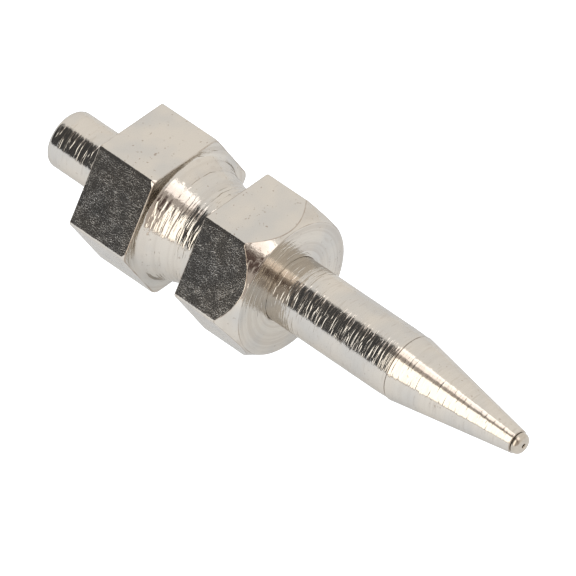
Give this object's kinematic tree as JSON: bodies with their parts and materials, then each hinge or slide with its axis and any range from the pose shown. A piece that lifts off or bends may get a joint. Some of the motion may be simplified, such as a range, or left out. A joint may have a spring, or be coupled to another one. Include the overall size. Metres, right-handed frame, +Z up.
{
  "type": "oil burner nozzle",
  "caption": "Small in-line oil burner nozzle with a hexagon body, a union nut, a barrel and a cone tip, and an anti-drip valve inside.",
  "frame": {"origin": "on the surface that the lower wrench flats rest on, below the axis, halfway along the length", "axes": "+X along the axis towards the spray tip, +Z up, square to the resting flat"},
  "size_m": [0.041, 0.0116, 0.01],
  "materials": {
    "nickel_plate": "bright nickel plate over turned metal",
    "stainless_steel": "fine turned",
    "copper": "annealed copper",
    "sintered_bronze": "porous sintered",
    "tip_brass": "turned, lightly tarnished",
    "rubber": "moulded"
  },
  "bodies": {
    "holder": {"inlet_spigot": "nickel_plate", "inlet_filter": "sintered_bronze", "filter_snap_ring": "stainless_steel", "spigot_seal": "copper", "rear_hex_body": "nickel_plate", "valve_seat": "stainless_steel", "seat_o_ring": "rubber", "spring_retainer": "stainless_steel", "retainer_circlip": "stainless_steel", "barrel_seal_washer": "copper", "valve_spring": "stainless_steel"},
    "poppet": {"valve_poppet": "stainless_steel", "poppet_seal": "rubber"},
    "barrel": {"barrel_tube": "nickel_plate", "nozzle_cone": "nickel_plate", "core_retaining_screw": "stainless_steel", "swirl_core": "stainless_steel", "orifice_insert": "tip_brass"},
    "nut": {"union_nut": "nickel_plate", "slip_washer": "stainless_steel"}
  },
  "joints": [
    {"name": "valve_lift", "type": "slide", "parent": "holder", "child": "poppet", "axis": [1, 0, 0], "range_m": [0, 0.0008], "stiffness_N_per_m": 300, "springref_m": -0.001, "deforming": ["valve_spring"]},
    {"name": "barrel_travel", "type": "slide", "parent": "holder", "child": "barrel", "axis": [1, 0, 0], "range_m": [0, 0.0025]},
    {"name": "nut_turn", "type": "hinge", "parent": "barrel", "child": "nut", "pos_m": [-0.0025, 0, 0.005], "axis": [1, 0, 0], "range_deg": [0, 1188]}
  ],
  "couplings": [
    {"joint": "barrel_travel", "follows": "nut_turn", "m_per_rad": 0.00011937}
  ]
}
